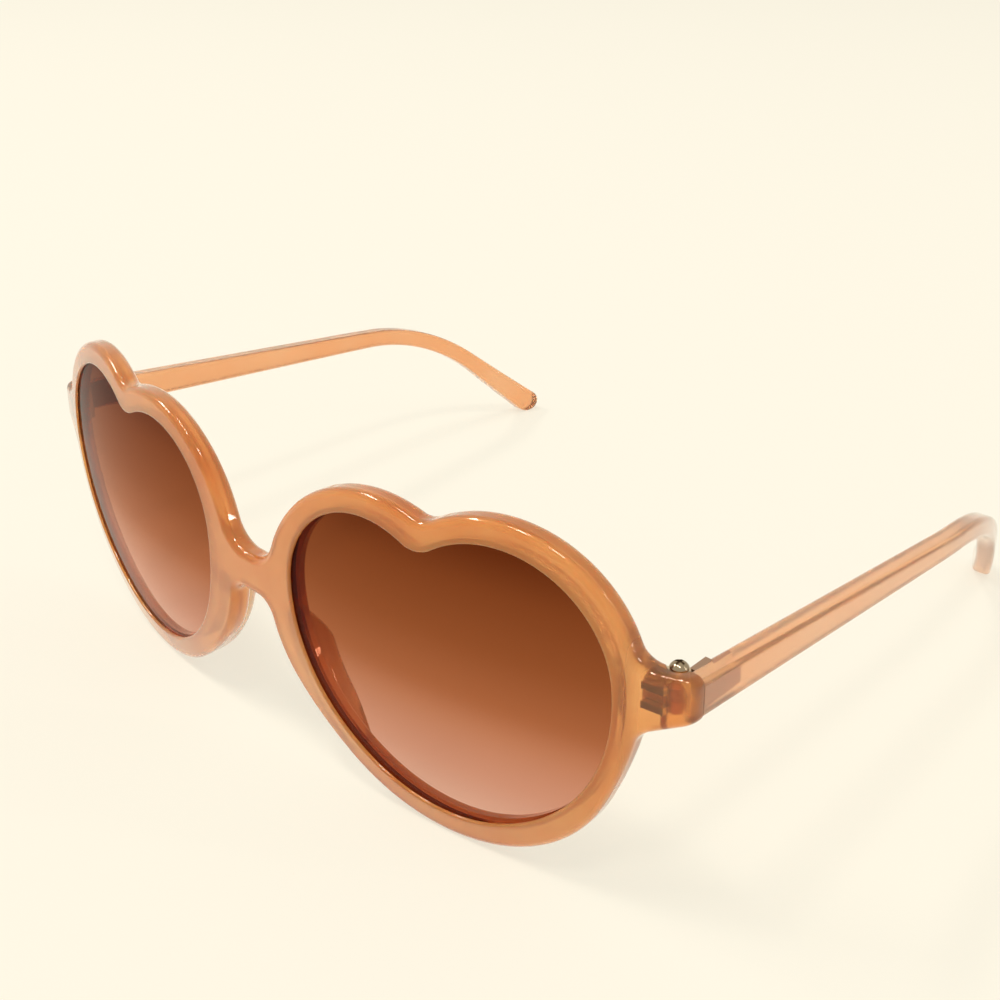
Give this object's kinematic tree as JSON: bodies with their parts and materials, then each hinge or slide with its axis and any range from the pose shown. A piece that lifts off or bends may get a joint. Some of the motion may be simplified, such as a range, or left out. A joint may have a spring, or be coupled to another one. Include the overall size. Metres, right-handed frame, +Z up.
{
  "type": "sunglasses",
  "caption": "Heart shaped sunglasses with a curved translucent plastic front, gradient lenses, moulded nose pads and temples that fold on knuckle hinges.",
  "frame": {"origin": "on the table, midway between the foremost point of the front and the ends of the open temples, on the mirror plane", "axes": "+X to the wearer's left, +Y backwards along the temples, +Z up"},
  "size_m": [0.1388, 0.1244, 0.0512],
  "materials": {
    "frame_plastic": "polished translucent caramel",
    "temple_plastic": "polished translucent peach",
    "lens_plastic": "clear, tinted brown at the top and fading downwards",
    "hinge_metal": "satin nickel",
    "screw_metal": "bright nickel"
  },
  "bodies": {
    "front": {"frame_front": "frame_plastic", "lens_left": "lens_plastic", "lens_right": "lens_plastic", "front_hinge_left": "hinge_metal", "front_hinge_right": "hinge_metal", "hinge_screw_left": "screw_metal", "hinge_screw_right": "screw_metal"},
    "left_arm": {"temple_left": "temple_plastic", "temple_hinge_left": "hinge_metal"},
    "right_arm": {"temple_right": "temple_plastic", "temple_hinge_right": "hinge_metal"}
  },
  "joints": [
    {"name": "left_fold", "type": "hinge", "parent": "front", "child": "left_arm", "pos_m": [0.0657, -0.0488, 0.034], "axis": [0, 0, 1], "range_deg": [0, 86]},
    {"name": "right_fold", "type": "hinge", "parent": "front", "child": "right_arm", "pos_m": [-0.0657, -0.0488, 0.034], "axis": [0, 0, -1], "range_deg": [0, 81]}
  ]
}
